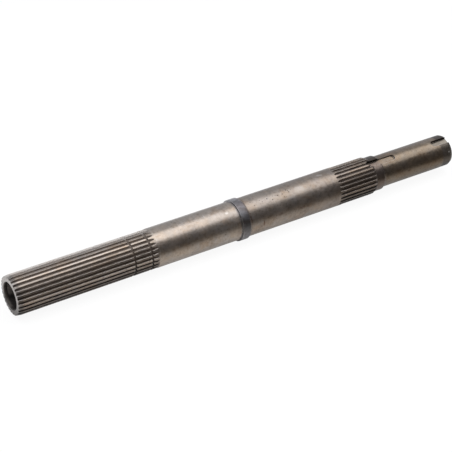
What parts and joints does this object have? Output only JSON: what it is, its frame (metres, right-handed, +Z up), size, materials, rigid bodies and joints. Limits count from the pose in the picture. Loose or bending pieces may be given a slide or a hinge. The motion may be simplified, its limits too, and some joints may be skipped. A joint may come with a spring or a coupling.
{
  "type": "splined shaft",
  "caption": "Turned steel drive shaft with external splines, ring grooves, a collar between ground journals, a blind bore in one end, a keyway and a slotted end journal.",
  "frame": {"origin": "under the middle of the shaft's length, on the floor that its collar lies on", "axes": "+X along the axis from the hollow end to the slotted end, +Z up"},
  "size_m": [0.457, 0.0384, 0.0385],
  "materials": {
    "steel": "ground, lightly stained"
  },
  "bodies": {
    "root": {"shaft": "steel"}
  },
  "joints": []
}
